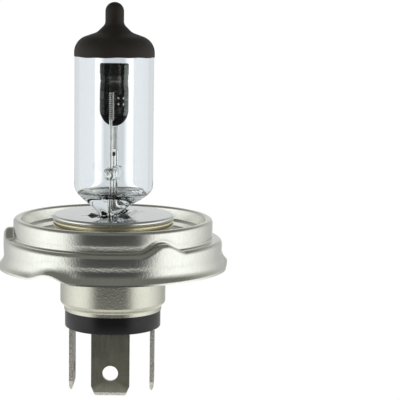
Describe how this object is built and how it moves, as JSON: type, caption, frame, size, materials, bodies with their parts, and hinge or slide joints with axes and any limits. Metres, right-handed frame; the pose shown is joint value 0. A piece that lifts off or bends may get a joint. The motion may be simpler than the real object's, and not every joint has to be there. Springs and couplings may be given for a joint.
{
  "type": "headlight bulb",
  "caption": "Twin-filament halogen headlight bulb with blackened tip, shield cup, stepped round locating flange and contact blades.",
  "frame": {"origin": "on the lamp axis, at the middle of the sized band of the 45 mm drum, 5.9 mm below the folded top edge of the flange", "axes": "+Z along the lamp axis towards the glass tip; -Y towards the single blade, which is the upper side in a headlight; +X towards the main-beam blade"},
  "size_m": [0.0472, 0.0471, 0.0795],
  "materials": {
    "quartz_glass": "clear fused quartz",
    "antiglare_black": "satin brown-black ceramic coating",
    "nickel_steel": "satin nickel plate with draw marks",
    "bright_nickel": "polished nickel plate",
    "blade_metal": "dull plated brass blades",
    "rivet_metal": "bright rolled tin plate",
    "solder": "bright solder",
    "black_plastic": "semi-gloss moulded phenolic",
    "molybdenum": "grey drawn wire and foil",
    "tungsten": "coiled tungsten wire",
    "shield_metal": "dark pressed molybdenum"
  },
  "bodies": {
    "root": {"quartz_envelope": "quartz_glass", "quartz_bridge": "quartz_glass", "antiglare_coating": "antiglare_black", "locating_flange": "nickel_steel", "base_shell": "nickel_steel", "cap_plate": "bright_nickel", "pinch_clamp": "bright_nickel", "insulator": "black_plastic", "terminal_dipped_beam": "blade_metal", "terminal_main_beam": "blade_metal", "terminal_earth": "blade_metal", "terminal_rivets": "rivet_metal", "solder_joints": "solder", "dipped_lead": "molybdenum", "main_lead": "molybdenum", "common_lead": "molybdenum", "dipped_foil": "molybdenum", "main_foil": "molybdenum", "common_foil": "molybdenum", "dipped_outer_lead": "molybdenum", "main_outer_lead": "molybdenum", "common_outer_lead": "molybdenum", "filament_weld": "molybdenum", "main_beam_filament": "tungsten", "dipped_beam_filament": "tungsten", "shield_cup": "shield_metal", "shield_strap": "shield_metal", "strap_welds": "rivet_metal"}
  },
  "joints": []
}
